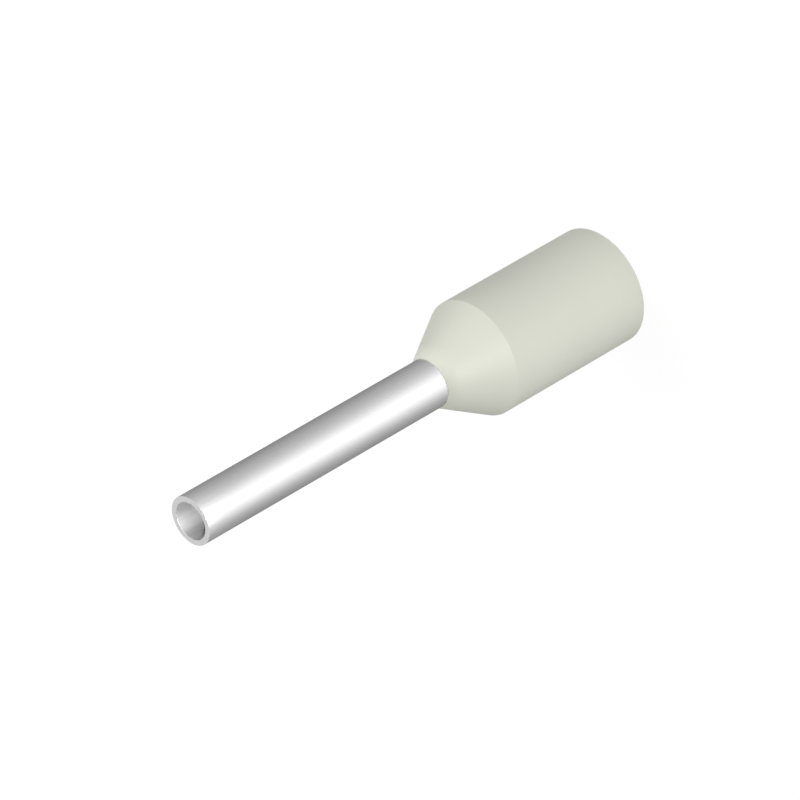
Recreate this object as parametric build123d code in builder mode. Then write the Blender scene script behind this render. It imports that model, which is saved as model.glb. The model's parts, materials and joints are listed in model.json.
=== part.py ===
"""Insulated wire ferrule for one fine-stranded 0.5 square millimetre conductor, in millimetres.

A thin metal sleeve carries a moulded insulating collar. The ferrule stands on the collar's
wire-entry end: that end's face is Z = 0, and +Z runs along the axis to the tip of the pin.
"""

from build123d import *
import math
import os

os.makedirs("parts", exist_ok=True)

# Whole ferrule
total_length = 14.0  # wire-entry end to tip
pin_length = 8.0  # bare metal in front of the collar

# Metal sleeve, one thin tube with a flared mouth
sleeve_bore = 1.0
sleeve_wall = 0.15
flare_bend = 0.4  # bend from tube to mouth, on the outer side of the wall
flare_margin = 0.15  # radial room between the mouth's edge and the collar's bore
tip_round = 0.02
mouth_round = 0.03

# Insulating collar, one moulding with a barrel and a cone
collar_bore = 2.6
collar_wall = 0.25
cone_half_angle = 30.0
rim_wall = 0.015  # flat land where the cone runs out on the tube
shoulder_round = 0.05
funnel_round = 0.15  # blend between the bore and the funnel
entry_round = 0.05
entry_chamfer = 0.08

# Fit of the sleeve in the collar
seat_clearance = 0.005

# Sizes that follow from the values above
sleeve_radius = sleeve_bore / 2 + sleeve_wall
seat_radius = sleeve_radius + seat_clearance
rim_radius = seat_radius + rim_wall
bore_radius = collar_bore / 2
collar_radius = bore_radius + collar_wall
mouth_radius = bore_radius - flare_margin
collar_length = total_length - pin_length
half_angle = math.radians(cone_half_angle)
flare_depth = collar_wall + seat_clearance


def cone_height(radius, depth=0.0):
    """Height of the outer cone at a radius, or of a parallel cone that deep under it."""
    outer = collar_length - (radius - rim_radius) / math.tan(half_angle)
    return outer - depth / math.sin(half_angle)


# Corners of the collar's section, as radius and height
rim_inner = (seat_radius, collar_length)
rim_outer = (rim_radius, collar_length)
shoulder = (collar_radius, cone_height(collar_radius))
entry_outer = (collar_radius, 0)
entry_inner = (bore_radius, 0)
funnel_start = (bore_radius, cone_height(bore_radius, collar_wall))
funnel_neck = (seat_radius, cone_height(seat_radius, collar_wall))

# Metal sleeve: its outer line runs down the tube and out along the funnel,
# and the wall is laid on the inner side of that line at one thickness
with BuildPart() as metal_sleeve:
    with BuildSketch(Plane.XZ) as wall:
        with BuildLine():
            FilletPolyline(
                (sleeve_radius, total_length),
                (sleeve_radius, cone_height(sleeve_radius, flare_depth)),
                (mouth_radius, cone_height(mouth_radius, flare_depth)),
                radius=flare_bend,
            )
            offset(amount=sleeve_wall, side=Side.RIGHT)
        make_face()
        fillet(wall.vertices().sort_by(Axis.Y)[-2:], radius=tip_round)
        fillet(wall.vertices().sort_by(Axis.Y)[:2], radius=mouth_round)
    revolve(axis=Axis.Z)

# Insulating collar: barrel, cone and an inner funnel that lies parallel to the cone,
# closing on a short cylindrical seat round the tube
with BuildPart() as insulating_collar:
    with BuildSketch(Plane.XZ) as moulding:
        with BuildLine():
            Polyline(
                rim_inner,
                rim_outer,
                shoulder,
                entry_outer,
                entry_inner,
                funnel_start,
                funnel_neck,
                close=True,
            )
        make_face()
        fillet(moulding.vertices().sort_by_distance(shoulder)[0], radius=shoulder_round)
        fillet(moulding.vertices().sort_by_distance(entry_outer)[0], radius=entry_round)
        chamfer(moulding.vertices().sort_by_distance(entry_inner)[0], length=entry_chamfer)
        fillet(moulding.vertices().sort_by_distance(funnel_start)[0], radius=funnel_round)
        neck_bend = flare_bend - seat_clearance
        fillet(moulding.vertices().sort_by_distance(funnel_neck)[0], radius=neck_bend)
    revolve(axis=Axis.Z)

metal_sleeve.part.label = "metal_sleeve"
insulating_collar.part.label = "insulating_collar"

export_step(metal_sleeve.part, "parts/metal_sleeve.step")
export_step(insulating_collar.part, "parts/insulating_collar.step")
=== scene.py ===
"""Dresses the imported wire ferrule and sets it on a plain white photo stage.

The file is laid out as an add-on. Its operators build the tin-plated sleeve, the moulded collar
and the stage, and its panel lists them with the sizes and colours that a user may change.
The ferrule stands on its wire-entry end at the origin, with +Z along its axis to the pin's tip.
"""

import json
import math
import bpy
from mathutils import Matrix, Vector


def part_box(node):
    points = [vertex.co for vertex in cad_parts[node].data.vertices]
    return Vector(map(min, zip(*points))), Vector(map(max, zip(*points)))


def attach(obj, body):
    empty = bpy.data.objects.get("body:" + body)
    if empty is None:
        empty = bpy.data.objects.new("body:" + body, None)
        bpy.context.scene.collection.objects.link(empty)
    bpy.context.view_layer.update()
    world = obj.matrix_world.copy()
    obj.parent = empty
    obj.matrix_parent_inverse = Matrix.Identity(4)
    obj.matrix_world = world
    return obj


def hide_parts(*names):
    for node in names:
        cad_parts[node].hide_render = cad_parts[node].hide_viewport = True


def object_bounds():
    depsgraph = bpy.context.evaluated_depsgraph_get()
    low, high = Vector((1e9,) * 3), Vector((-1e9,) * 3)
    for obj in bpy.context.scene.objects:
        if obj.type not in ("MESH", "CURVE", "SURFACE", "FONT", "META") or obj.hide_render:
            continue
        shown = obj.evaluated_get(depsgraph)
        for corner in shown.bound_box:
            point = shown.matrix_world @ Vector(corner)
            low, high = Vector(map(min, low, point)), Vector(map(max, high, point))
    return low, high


bl_info = {
    "name": "Wire Ferrule",
    "version": (1, 0, 0),
    "blender": (4, 5, 0),
    "location": "3D View > Sidebar > Ferrule",
    "description": "Builds an insulated wire ferrule and its photo stage",
    "category": "Object",
}

import bmesh
import bpy
from bpy.props import FloatProperty, FloatVectorProperty, PointerProperty
from mathutils import Matrix, Vector

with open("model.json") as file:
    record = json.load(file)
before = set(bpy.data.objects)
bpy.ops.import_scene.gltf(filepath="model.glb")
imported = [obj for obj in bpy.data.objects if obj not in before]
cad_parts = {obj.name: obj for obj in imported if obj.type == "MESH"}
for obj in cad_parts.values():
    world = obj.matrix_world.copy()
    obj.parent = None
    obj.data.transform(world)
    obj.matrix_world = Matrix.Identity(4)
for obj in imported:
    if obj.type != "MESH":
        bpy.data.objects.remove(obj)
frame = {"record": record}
CAD_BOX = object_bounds()

MM = 0.001
BODY = "root"
MOUNT_DIMS = {mount["name"]: mount["dims"] for mount in frame["record"]["mounts"]}
SLEEVE_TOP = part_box("metal_sleeve")[1]
COLLAR_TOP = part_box("insulating_collar")[1]


def length_property(name, description, default):
    return FloatProperty(
        name=name, description=description, default=default,
        min=0.0, unit="LENGTH", subtype="DISTANCE",
    )


def offset_property(name, description, default):
    return FloatProperty(
        name=name, description=description, default=default, unit="LENGTH", subtype="DISTANCE"
    )


def angle_property(name, description, degrees):
    return FloatProperty(
        name=name, description=description, default=math.radians(degrees),
        unit="ROTATION", subtype="ANGLE",
    )


def colour_property(name, description, default):
    return FloatVectorProperty(
        name=name, description=description, default=default,
        size=3, min=0.0, max=1.0, subtype="COLOR",
    )


def factor_property(name, description, default):
    return FloatProperty(
        name=name, description=description, default=default, min=0.0, max=1.0, subtype="FACTOR"
    )


def level_property(name, description, default):
    return FloatProperty(name=name, description=description, default=default, min=0.0)


class SleeveSettings(bpy.types.PropertyGroup):
    """Sizes and finish of the tin-plated sleeve."""

    tip_height: length_property("Tip height", "Height of the pin's tip", SLEEVE_TOP.z)
    outer_radius: length_property(
        "Outer radius", "Outside of the pin", MOUNT_DIMS["terminal_pin"]["r_mm"] * MM
    )
    bore_radius: length_property(
        "Bore radius", "Inside of the pin", MOUNT_DIMS["conductor_bore"]["r_mm"] * MM
    )
    mouth_radius: length_property("Mouth radius", "Outside of the flared mouth's edge", 1.15 * MM)
    flare_bend: length_property("Flare bend", "Bend into the mouth, outside the wall", 0.4 * MM)
    tip_round: length_property("Tip rounding", "Rounding of the tip's two edges", 0.004 * MM)
    mouth_round: length_property("Mouth rounding", "Rounding of the mouth's two edges", 0.03 * MM)
    colour: colour_property("Tin", "Reflected colour of the tin plate", (0.86, 0.86, 0.86))
    roughness: factor_property("Roughness", "Middle roughness of the plate", 0.3)
    # The bore's darker tin colour is painted shade in the bore; its real dullness is the bore
    # roughness.
    bore_painted_shade_colour: colour_property("Bore tin", "Reflected colour of the dull bore", (0.4, 0.4, 0.4))
    bore_roughness: factor_property("Bore roughness", "Middle roughness in the bore", 0.6)


class CollarSettings(bpy.types.PropertyGroup):
    """Sizes and finish of the moulded collar."""

    height: length_property("Height", "Collar's end face to its front rim", COLLAR_TOP.z)
    outer_radius: length_property("Outer radius", "Outside of the barrel", COLLAR_TOP.x)
    bore_radius: length_property(
        "Bore radius", "Inside of the wire entry", MOUNT_DIMS["wire_entry"]["r_mm"] * MM
    )
    cone_half_angle: angle_property("Cone half angle", "Slope of the cone from the axis", 30.0)
    rim_land: length_property("Rim land", "Flat where the cone runs out", 0.015 * MM)
    seat_clearance: length_property("Seat clearance", "Gap between sleeve and collar", 0.001 * MM)
    shoulder_round: length_property("Shoulder rounding", "Edge from cone to barrel", 0.05 * MM)
    funnel_round: length_property("Funnel rounding", "Blend from bore to funnel", 0.15 * MM)
    entry_round: length_property("Entry rounding", "Outer edge of the end face", 0.05 * MM)
    entry_chamfer: length_property("Entry chamfer", "Inner edge of the end face", 0.08 * MM)
    colour: colour_property("Plastic", "Colour of the moulding", (0.785, 0.80, 0.705))
    roughness: factor_property("Roughness", "Middle roughness of the moulding", 0.45)


class StageSettings(bpy.types.PropertyGroup):
    """Camera, floor and light."""

    lens: FloatProperty(name="Lens", description="Focal length", default=301.86, unit="CAMERA")
    sensor: FloatProperty(name="Sensor", description="Sensor width", default=36.0, unit="CAMERA")
    view_elevation: angle_property("View elevation", "Camera over the floor", 35.09)
    view_roll: angle_property("View roll", "Turn of the camera about its view", -120.0)
    view_distance: length_property("View distance", "Depth of the pin's tip", 158.80 * MM)
    tip_across: offset_property("Tip across", "Pin's tip right of the middle", -4.9575 * MM)
    tip_up: offset_property("Tip up", "Pin's tip above the middle", -2.8671 * MM)
    floor_size: length_property("Floor size", "Radius of the floor", 1.0)
    floor_opening: length_property("Floor opening", "Radius open under the wire entry", 1.45 * MM)
    floor_gap: length_property("Floor gap", "Keeps the floor off the collar's end", 0.005 * MM)
    floor_colour: colour_property("Floor", "Colour of the floor", (0.6, 0.6, 0.6))
    floor_white: level_property("Floor white", "Glow that the camera sees", 1.1)
    shadow_share: factor_property("Shadow share", "How much of the shadow shows", 0.16)
    shadow_reach: length_property("Shadow reach", "Where the shadow has faded out", 0.06)
    glow_back: level_property("Glow behind", "Floor's glow in metal, behind", 0.254)
    glow_rise: level_property("Glow rise", "Even rise of that glow from back to front", 0.438)
    glow_peak: level_property("Glow peak", "What the bright side adds to it", 0.665)
    glow_focus: level_property("Glow focus", "How narrow the bright side is", 6.0)
    glow_side: angle_property("Glow side", "Turn of the bright side from the camera", -20.0)
    sky_level: level_property("Sky level", "Light of the white surroundings", 0.25)
    sky_in_metal: level_property("Sky in metal", "Surroundings as metal shows them", 0.67)
    lamp_distance: length_property("Lamp distance", "Square lamps from the ferrule", 0.35)
    lamp_size: length_property("Lamp size", "Side of each square lamp", 0.25)
    front_side: angle_property("Front side", "Turn of the front lamp from the camera", -20.0)
    front_elevation: angle_property("Front elevation", "Front lamp over the floor", 20.0)
    front_level: level_property("Front level", "Front light on a surface facing it", 0.583)
    top_side: angle_property("Top side", "Turn of the top lamp from the camera", 105.0)
    top_elevation: angle_property("Top elevation", "Top lamp over the floor", 60.0)
    top_level: level_property("Top level", "Top light on a surface facing it", 0.573)
    back_side: angle_property("Back side", "Turn of the back lamp from the camera", -172.0)
    back_elevation: angle_property("Back elevation", "Back lamp over the floor", 8.0)
    back_level: level_property("Back level", "Back light on a surface facing it", 0.35)
    snoot_distance: length_property("Snoot distance", "Small lamp from the pin's tip", 0.06)
    snoot_radius: length_property("Snoot radius", "Radius of the small lamp", 0.5 * MM)
    snoot_beam: angle_property("Snoot beam", "Angle of the small lamp's beam", 2.6)
    snoot_side: angle_property("Snoot side", "Turn of the small lamp from the camera", -12.0)
    snoot_elevation: angle_property("Snoot elevation", "Small lamp over the tip", 36.0)
    snoot_level: level_property("Snoot level", "Its light on a surface facing it", 4.7)


# Shapes
#
# Sections are drawn in millimetres, because a bevel drops lengths near a micrometre.
# The spun mesh is scaled to metres at the end.

SPIN_STEPS = 192
LONGEST_FACE_MM = 0.5
MERGE_MM = 0.0002
BEND_SEGMENTS = 8
FUNNEL_SEGMENTS = 6
ENTRY_SEGMENTS = 5
EDGE_SEGMENTS = 4
FLOOR_SEGMENTS = 64


def in_mm(length):
    return length / MM


def turned(azimuth, elevation=0.0):
    """Unit vector out to a side. Azimuth 0 is towards the camera, along -Y."""
    flat = math.cos(elevation)
    return Vector((math.sin(azimuth) * flat, -math.cos(azimuth) * flat, math.sin(elevation)))


def cone_height(sleeve, collar, radius, depth=0.0):
    """Height of the outer cone at a radius, or of a parallel cone that deep under it."""
    rim = in_mm(sleeve.outer_radius + collar.seat_clearance + collar.rim_land)
    outer = in_mm(collar.height) - (radius - rim) / math.tan(collar.cone_half_angle)
    return outer - depth / math.sin(collar.cone_half_angle)


def section_loop(corners):
    """A closed wire in the XZ plane through corners given as (radius, height)."""
    mesh = bmesh.new()
    verts = [mesh.verts.new((radius, 0.0, height)) for radius, height in corners]
    for here, there in zip(verts, verts[1:] + verts[:1]):
        mesh.edges.new((here, there))
    return mesh, verts


def round_corner(mesh, corner, radius, segments):
    """Rounds one corner of a section with an arc tangent to both its sides."""
    one, other = (edge.other_vert(corner).co - corner.co for edge in corner.link_edges)
    turn = math.pi - one.angle(other)
    bmesh.ops.bevel(
        mesh, geom=[corner], offset=radius * math.tan(turn / 2), offset_type="OFFSET",
        segments=segments, profile=0.5, affect="VERTICES", material=-1,
    )


def divide_long_sides(mesh):
    """Cuts the section's long sides, so that the spun faces aren't long slivers."""
    for edge in list(mesh.edges):
        cuts = int(edge.calc_length() / LONGEST_FACE_MM)
        if cuts:
            bmesh.ops.subdivide_edges(mesh, edges=[edge], cuts=cuts)


def in_scene(name, data):
    """A new object of the scene that holds a mesh, a lamp or a camera."""
    made = bpy.data.objects.new(name, data)
    bpy.context.scene.collection.objects.link(made)
    return made


def mesh_object(name, mesh, material):
    """Makes a finished mesh an object of the scene, with its one material."""
    data = bpy.data.meshes.new(name)
    mesh.to_mesh(data)
    mesh.free()
    data.materials.append(material)
    return in_scene(name, data)


def spun_piece(name, mesh, material):
    """Spins a section about the axis and returns it as a finished object in metres."""
    divide_long_sides(mesh)
    bmesh.ops.spin(
        mesh, geom=mesh.verts[:] + mesh.edges[:], cent=(0, 0, 0), axis=(0, 0, 1),
        angle=math.tau, steps=SPIN_STEPS, use_merge=True,
    )
    bmesh.ops.remove_doubles(mesh, verts=mesh.verts, dist=MERGE_MM)
    bmesh.ops.recalc_face_normals(mesh, faces=mesh.faces)
    bmesh.ops.scale(mesh, vec=(MM, MM, MM), verts=mesh.verts)
    for face in mesh.faces:
        face.smooth = True
    piece = mesh_object(name, mesh, material)
    weighted = piece.modifiers.new("Weighted normals", "WEIGHTED_NORMAL")
    weighted.keep_sharp = True
    return piece


# Materials

ROUGHNESS_SPREAD = 0.04
PLASTIC_IOR = 1.49


def node(tree, kind, inputs=None, **settings):
    """Adds a node, sets its options and fills its inputs from values or sockets."""
    made = tree.nodes.new(kind)
    for key, value in settings.items():
        setattr(made, key, value)
    for key, value in (inputs or {}).items():
        socket = made.inputs[key]
        if isinstance(value, bpy.types.NodeSocket):
            tree.links.new(value, socket)
        else:
            socket.default_value = value
    return made


def calculated(tree, operation, *values):
    """The result of a Math node."""
    return node(tree, "ShaderNodeMath", dict(enumerate(values)), operation=operation).outputs[0]


def vector_calculated(tree, operation, *values):
    """The result of a Vector Math node, which is one number for a length or a dot product."""
    made = node(tree, "ShaderNodeVectorMath", dict(enumerate(values)), operation=operation)
    return made.outputs["Value" if operation in ("LENGTH", "DOT_PRODUCT") else "Vector"]


def object_place(tree):
    """Object coordinates."""
    return node(tree, "ShaderNodeTexCoord").outputs["Object"]


def ranged(tree, value, **limits):
    """A Map Range node's result. Limits such as from_min that aren't given keep 0 to 1."""
    inputs = {key.replace("_", " ").title(): limit for key, limit in limits.items()}
    return node(tree, "ShaderNodeMapRange", {"Value": value, **inputs}).outputs["Result"]


def mixed_colour(tree, factor, one, other, blend_type="MIX"):
    """Mixes two colours, each given as a socket or as red, green and blue."""
    colours = (
        colour if isinstance(colour, bpy.types.NodeSocket) else (*colour, 1.0)
        for colour in (one, other)
    )
    mixed = node(tree, "ShaderNodeMix", data_type="RGBA", blend_type=blend_type)
    for key, value in zip(("Factor", "A", "B"), (factor, *colours)):
        if isinstance(value, bpy.types.NodeSocket):
            tree.links.new(value, mixed.inputs[key])
        else:
            mixed.inputs[key].default_value = value
    return mixed.outputs["Result"]


def mixed_shader(tree, factor, one, other):
    """The first shader where the factor is 0, the second where it is 1."""
    return node(tree, "ShaderNodeMixShader", {0: factor, 1: one, 2: other}).outputs[0]


def bumped(tree, height, strength, depth):
    """A normal that a height bends."""
    inputs = {"Height": height, "Strength": strength, "Distance": depth}
    return node(tree, "ShaderNodeBump", inputs).outputs["Normal"]


def new_material(name):
    """An empty node material, its tree and the input of its output node."""
    material = bpy.data.materials.new(name)
    material.use_nodes = True
    material.node_tree.nodes.clear()
    output = material.node_tree.nodes.new("ShaderNodeOutputMaterial")
    return material, material.node_tree, output.inputs["Surface"]


def fine_grain_group():
    """Noise for both finishes: a value between two limits, and the plain noise as a height."""
    found = bpy.data.node_groups.get("Fine grain")
    if found:
        return found
    group = bpy.data.node_groups.new("Fine grain", "ShaderNodeTree")
    group.interface.new_socket("Vector", in_out="INPUT", socket_type="NodeSocketVector")
    for name, value in (("Scale", 10.0), ("Detail", 2.0), ("Low", 0.0), ("High", 1.0)):
        socket = group.interface.new_socket(name, in_out="INPUT", socket_type="NodeSocketFloat")
        socket.default_value = value
    for name in ("Value", "Height"):
        group.interface.new_socket(name, in_out="OUTPUT", socket_type="NodeSocketFloat")
    given = group.nodes.new("NodeGroupInput").outputs
    out = group.nodes.new("NodeGroupOutput").inputs
    inputs = {key: given[key] for key in ("Vector", "Scale", "Detail")}
    noise = node(group, "ShaderNodeTexNoise", inputs).outputs["Fac"]
    # Nearly all of the noise lies between 0.3 and 0.7
    spread = ranged(
        group, noise, from_min=0.3, from_max=0.7, to_min=given["Low"], to_max=given["High"]
    )
    group.links.new(spread, out["Value"])
    group.links.new(noise, out["Height"])
    return group


def grain(tree, stretch, scale, detail, low, high):
    """Places the shared grain on Object coordinates in millimetres, with its own stretch."""
    placed = node(
        tree, "ShaderNodeMapping",
        {"Vector": object_place(tree), "Scale": [1 / (MM * factor) for factor in stretch]},
    )
    made = node(tree, "ShaderNodeGroup", node_tree=fine_grain_group())
    tree.links.new(placed.outputs["Vector"], made.inputs["Vector"])
    for key, value in (("Scale", scale), ("Detail", detail), ("Low", low), ("High", high)):
        made.inputs[key].default_value = value
    return made.outputs


def outside_mask(tree):
    """1 on the sleeve's outside and its end faces, 0 on the wall that faces the axis."""
    coordinates = node(tree, "ShaderNodeTexCoord").outputs
    flat = vector_calculated(tree, "MULTIPLY", coordinates["Object"], (1.0, 1.0, 0.0))
    radial = vector_calculated(tree, "NORMALIZE", flat)
    outwards = vector_calculated(tree, "DOT_PRODUCT", radial, coordinates["Normal"])
    return ranged(tree, outwards, from_min=-0.8, from_max=-0.2)


def tin_plate(settings):
    """Bright tin on drawn copper tube: fine lines along the tube, and a matt bore, whose darker
    colour is painted shade.
    """
    material, tree, output = new_material("bright_tin")
    mask = outside_mask(tree)
    drawn = grain(
        tree, (1.0, 1.0, 40.0), scale=30.0, detail=3.0,
        low=-ROUGHNESS_SPREAD, high=ROUGHNESS_SPREAD,
    )
    cloud = grain(tree, (1.0, 1.0, 1.6), scale=1.4, detail=2.0, low=0.97, high=1.0)
    # Painted shade: the walls that face the axis get the darker bore colour.
    plate = mixed_colour(tree, mask, settings.bore_painted_shade_colour, settings.colour)
    middle = node(
        tree, "ShaderNodeMix",
        {"Factor": mask, "A": settings.bore_roughness, "B": settings.roughness},
    )
    surface = node(
        tree, "ShaderNodeBsdfPrincipled",
        {
            "Base Color": mixed_colour(tree, 1.0, plate, cloud["Value"], "MULTIPLY"),
            "Metallic": 1.0,
            "Roughness": calculated(tree, "ADD", middle.outputs["Result"], drawn["Value"]),
            "Normal": bumped(tree, drawn["Height"], strength=0.25, depth=0.001 * MM),
        },
    )
    tree.links.new(surface.outputs["BSDF"], output)
    return material


def collar_plastic(settings):
    """Satin moulded plastic: a fine mould grain over a hardly visible mottle."""
    material, tree, output = new_material("satin_collar_plastic")
    skin = grain(
        tree, (1.0, 1.0, 1.0), scale=18.0, detail=3.0,
        low=settings.roughness - ROUGHNESS_SPREAD, high=settings.roughness + ROUGHNESS_SPREAD,
    )
    mottle = grain(tree, (1.0, 1.0, 1.5), scale=0.8, detail=2.0, low=0.985, high=1.0)
    surface = node(
        tree, "ShaderNodeBsdfPrincipled",
        {
            "Base Color": mixed_colour(tree, 1.0, settings.colour, mottle["Value"], "MULTIPLY"),
            "Roughness": skin["Value"],
            "IOR": PLASTIC_IOR,
            "Normal": bumped(tree, skin["Height"], strength=0.3, depth=0.002 * MM),
        },
    )
    tree.links.new(surface.outputs["BSDF"], output)
    return material


def in_reflection(tree, path):
    """1 for what is seen in metal or through glass."""
    return calculated(tree, "MAXIMUM", path["Is Glossy Ray"], path["Is Transmission Ray"])


def towards(tree, side):
    """How far a point of the floor lies towards a side: 1 on that side, 0 opposite."""
    outwards = vector_calculated(tree, "NORMALIZE", object_place(tree))
    along = vector_calculated(tree, "DOT_PRODUCT", outwards, turned(side))
    return ranged(tree, along, from_min=-1.0)


def floor_finish(settings):
    """White floor. The camera sees it glow with a faint shadow, and metal sees a brighter side."""
    material, tree, output = new_material("stage_floor")
    path = node(tree, "ShaderNodeLightPath").outputs
    plain = node(tree, "ShaderNodeBsdfDiffuse", {"Color": (*settings.floor_colour, 1.0)}).outputs[0]
    white = node(tree, "ShaderNodeEmission", {"Strength": settings.floor_white}).outputs[0]
    away = vector_calculated(tree, "LENGTH", object_place(tree))
    share = ranged(
        tree, away, from_max=settings.shadow_reach, to_min=settings.shadow_share, to_max=0.0
    )
    seen = mixed_shader(tree, share, white, plain)
    bright = calculated(tree, "POWER", towards(tree, settings.glow_side), settings.glow_focus)
    even = calculated(
        tree, "MULTIPLY_ADD", towards(tree, 0.0), settings.glow_rise, settings.glow_back
    )
    level = calculated(tree, "MULTIPLY_ADD", bright, settings.glow_peak, even)
    glow = node(tree, "ShaderNodeEmission", {"Strength": level}).outputs[0]
    in_metal = mixed_shader(tree, in_reflection(tree, path), plain, glow)
    top = mixed_shader(tree, path["Is Camera Ray"], in_metal, seen)
    clear = node(tree, "ShaderNodeBsdfTransparent").outputs[0]
    below = node(tree, "ShaderNodeNewGeometry").outputs["Backfacing"]
    tree.links.new(mixed_shader(tree, below, top, clear), output)
    return material


def white_world(settings):
    """White surroundings for the camera, with plain levels for lighting and for metal."""
    world = bpy.data.worlds.new("white_surroundings")
    world.use_nodes = True
    tree = world.node_tree
    tree.nodes.clear()
    path = node(tree, "ShaderNodeLightPath").outputs
    sky, mirrored, white = (
        node(
            tree, "ShaderNodeBackground", {"Color": (1.0, 1.0, 1.0, 1.0), "Strength": level}
        ).outputs[0]
        for level in (settings.sky_level, settings.sky_in_metal, 1.0)
    )
    lit = mixed_shader(tree, in_reflection(tree, path), sky, mirrored)
    seen = mixed_shader(tree, path["Is Camera Ray"], lit, white)
    node(tree, "ShaderNodeOutputWorld", {"Surface": seen})
    return world


# Pieces

class FERRULE_OT_metal_sleeve(bpy.types.Operator):
    """Build the tin-plated sleeve with its flared mouth"""

    bl_idname = "ferrule.metal_sleeve"
    bl_label = "Metal sleeve"

    def execute(self, context):
        sleeve = context.scene.ferrule_sleeve
        collar = context.scene.ferrule_collar
        outer = in_mm(sleeve.outer_radius)
        bore = in_mm(sleeve.bore_radius)
        tip = in_mm(sleeve.tip_height)
        mouth = in_mm(sleeve.mouth_radius)
        bend = in_mm(sleeve.flare_bend)
        wall = outer - bore
        slope = collar.cone_half_angle
        depth = in_mm(collar.outer_radius - collar.bore_radius + collar.seat_clearance)
        neck = cone_height(sleeve, collar, outer, depth)
        mouth_height = cone_height(sleeve, collar, mouth, depth)
        mesh, corners = section_loop([
            (outer, tip),
            (outer, neck),
            (mouth, mouth_height),
            (mouth - wall * math.cos(slope), mouth_height - wall * math.sin(slope)),
            (bore, neck - wall * math.tan(slope / 2)),
            (bore, tip),
        ])
        tip_outer, outer_bend, mouth_outer, mouth_inner, inner_bend, tip_inner = corners
        round_corner(mesh, outer_bend, bend, BEND_SEGMENTS)
        round_corner(mesh, inner_bend, bend + wall, BEND_SEGMENTS)
        for corner in (tip_outer, tip_inner):
            round_corner(mesh, corner, in_mm(sleeve.tip_round), EDGE_SEGMENTS)
        for corner in (mouth_outer, mouth_inner):
            round_corner(mesh, corner, in_mm(sleeve.mouth_round), EDGE_SEGMENTS)
        piece = spun_piece("tin_plated_sleeve", mesh, tin_plate(sleeve))
        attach(piece, BODY)
        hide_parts("metal_sleeve")
        return {"FINISHED"}


class FERRULE_OT_insulating_collar(bpy.types.Operator):
    """Build the moulded collar with its barrel, cone and funnel"""

    bl_idname = "ferrule.insulating_collar"
    bl_label = "Insulating collar"

    def execute(self, context):
        sleeve = context.scene.ferrule_sleeve
        collar = context.scene.ferrule_collar
        top = in_mm(collar.height)
        barrel = in_mm(collar.outer_radius)
        bore = in_mm(collar.bore_radius)
        seat = in_mm(sleeve.outer_radius + collar.seat_clearance)
        chamfer = in_mm(collar.entry_chamfer)
        neck_bend = in_mm(sleeve.flare_bend - collar.seat_clearance)
        wall = barrel - bore
        mesh, corners = section_loop([
            (seat, top),
            (seat + in_mm(collar.rim_land), top),
            (barrel, cone_height(sleeve, collar, barrel)),
            (barrel, 0.0),
            (bore + chamfer, 0.0),
            (bore, chamfer),
            (bore, cone_height(sleeve, collar, bore, wall)),
            (seat, cone_height(sleeve, collar, seat, wall)),
        ])
        _, _, shoulder, entry, _, _, funnel, neck = corners
        round_corner(mesh, shoulder, in_mm(collar.shoulder_round), EDGE_SEGMENTS)
        round_corner(mesh, entry, in_mm(collar.entry_round), ENTRY_SEGMENTS)
        round_corner(mesh, funnel, in_mm(collar.funnel_round), FUNNEL_SEGMENTS)
        round_corner(mesh, neck, neck_bend, BEND_SEGMENTS)
        piece = spun_piece("moulded_collar", mesh, collar_plastic(collar))
        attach(piece, BODY)
        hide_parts("insulating_collar")
        return {"FINISHED"}


# Stage

def add_camera(settings, tip):
    """Stands the camera at the photo's place, rolled so that the pin points down left."""
    back = turned(0.0, settings.view_elevation)
    across = Vector((1.0, 0.0, 0.0))
    level = Matrix((across, back.cross(across), back)).transposed()
    facing = level @ Matrix.Rotation(settings.view_roll, 3, "Z")
    tip_in_view = Vector((settings.tip_across, settings.tip_up, -settings.view_distance))
    data = bpy.data.cameras.new("photo_camera")
    data.lens = settings.lens
    data.sensor_width = settings.sensor
    data.clip_start = settings.view_distance / 10
    data.clip_end = settings.floor_size * 10
    camera = in_scene("photo_camera", data)
    camera.matrix_world = Matrix.Translation(tip - facing @ tip_in_view) @ facing.to_4x4()
    bpy.context.scene.camera = camera


def aim(lamp, target, side, elevation, distance):
    """Stands a lamp off to a side of its target and turns it towards it."""
    out = turned(side, elevation)
    lamp.location = target + out * distance
    lamp.rotation_euler = out.to_track_quat("Z", "Y").to_euler()


def add_lamp(name, side, elevation, level, settings):
    """A soft square lamp aimed at the ferrule's middle.

    Its level is the light on a surface that faces it.
    """
    data = bpy.data.lights.new(name, "AREA")
    data.size = settings.lamp_size
    data.energy = level * (math.pi * settings.lamp_distance) ** 2
    lamp = in_scene(name, data)
    aim(lamp, (CAD_BOX[0] + CAD_BOX[1]) / 2, side, elevation, settings.lamp_distance)
    return lamp


def add_snoot(settings, tip):
    """A narrow lamp that lights the pin's tip and the far side of its bore."""
    data = bpy.data.lights.new("snoot_lamp", "SPOT")
    data.shadow_soft_size = settings.snoot_radius
    data.spot_size = settings.snoot_beam
    data.spot_blend = 1.0
    data.energy = settings.snoot_level * (2 * math.pi * settings.snoot_distance) ** 2
    lamp = in_scene("snoot_lamp", data)
    aim(lamp, tip, settings.snoot_side, settings.snoot_elevation, settings.snoot_distance)


def add_floor(settings):
    """A round floor, open under the wire entry so that the collar isn't black from below."""
    mesh = bmesh.new()
    lowered = Matrix.Translation((0.0, 0.0, -settings.floor_gap))
    for radius in (settings.floor_opening, settings.floor_size):
        bmesh.ops.create_circle(mesh, segments=FLOOR_SEGMENTS, radius=radius, matrix=lowered)
    bmesh.ops.bridge_loops(mesh, edges=mesh.edges[:])
    mesh.normal_update()
    bmesh.ops.reverse_faces(mesh, faces=[face for face in mesh.faces if face.normal.z < 0])
    floor = mesh_object("stage_floor", mesh, floor_finish(settings))


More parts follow.
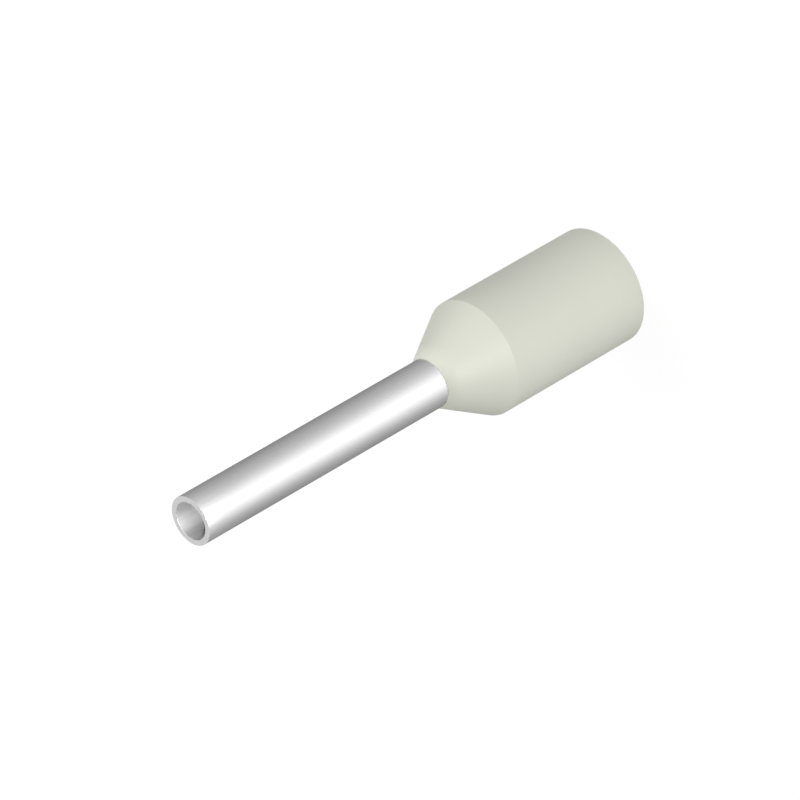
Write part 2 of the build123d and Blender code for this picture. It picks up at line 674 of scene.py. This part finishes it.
class FERRULE_OT_stage(bpy.types.Operator):
    """Set up the white floor, the surroundings, the lamps and the camera"""

    bl_idname = "ferrule.stage"
    bl_label = "Stage"

    def execute(self, context):
        scene = context.scene
        settings = scene.ferrule_stage
        tip = Vector((0.0, 0.0, scene.ferrule_sleeve.tip_height))
        add_floor(settings)
        scene.world = white_world(settings)
        _front, top, back = (
            add_lamp(name, side, elevation, level, settings)
            for name, side, elevation, level in (
                ("front_lamp", settings.front_side, settings.front_elevation, settings.front_level),
                ("top_lamp", settings.top_side, settings.top_elevation, settings.top_level),
                ("back_lamp", settings.back_side, settings.back_elevation, settings.back_level),
            )
        )
        # The tube would throw their reflections on the cone beside it
        for lamp in (top, back):
            lamp.visible_glossy = False
        add_snoot(settings, tip)
        add_camera(settings, tip)
        scene.view_settings.view_transform = "Standard"
        return {"FINISHED"}


class FERRULE_PT_sidebar(bpy.types.Panel):
    """Lists the ferrule's pieces, its stage and their settings."""

    bl_idname = "FERRULE_PT_sidebar"
    bl_label = "Wire Ferrule"
    bl_space_type = "VIEW_3D"
    bl_region_type = "UI"
    bl_category = "Ferrule"

    def draw(self, context):
        for operator, group in PIECES:
            box = self.layout.box()
            box.operator(operator)
            settings = getattr(context.scene, group)
            for name in settings.bl_rna.properties.keys():
                if name not in ("rna_type", "name"):
                    box.prop(settings, name)


PIECES = (
    ("ferrule.metal_sleeve", "ferrule_sleeve"),
    ("ferrule.insulating_collar", "ferrule_collar"),
    ("ferrule.stage", "ferrule_stage"),
)
SETTINGS = (
    ("ferrule_sleeve", SleeveSettings),
    ("ferrule_collar", CollarSettings),
    ("ferrule_stage", StageSettings),
)
CLASSES = (
    SleeveSettings,
    CollarSettings,
    StageSettings,
    FERRULE_OT_metal_sleeve,
    FERRULE_OT_insulating_collar,
    FERRULE_OT_stage,
    FERRULE_PT_sidebar,
)


def register():
    for item in CLASSES:
        bpy.utils.register_class(item)
    for name, group in SETTINGS:
        setattr(bpy.types.Scene, name, PointerProperty(type=group))


def unregister():
    for name, _group in SETTINGS:
        delattr(bpy.types.Scene, name)
    for item in reversed(CLASSES):
        bpy.utils.unregister_class(item)


def main():
    register()
    bpy.ops.ferrule.metal_sleeve()
    bpy.ops.ferrule.insulating_collar()
    bpy.ops.ferrule.stage()


if __name__ == "__main__":
    main()
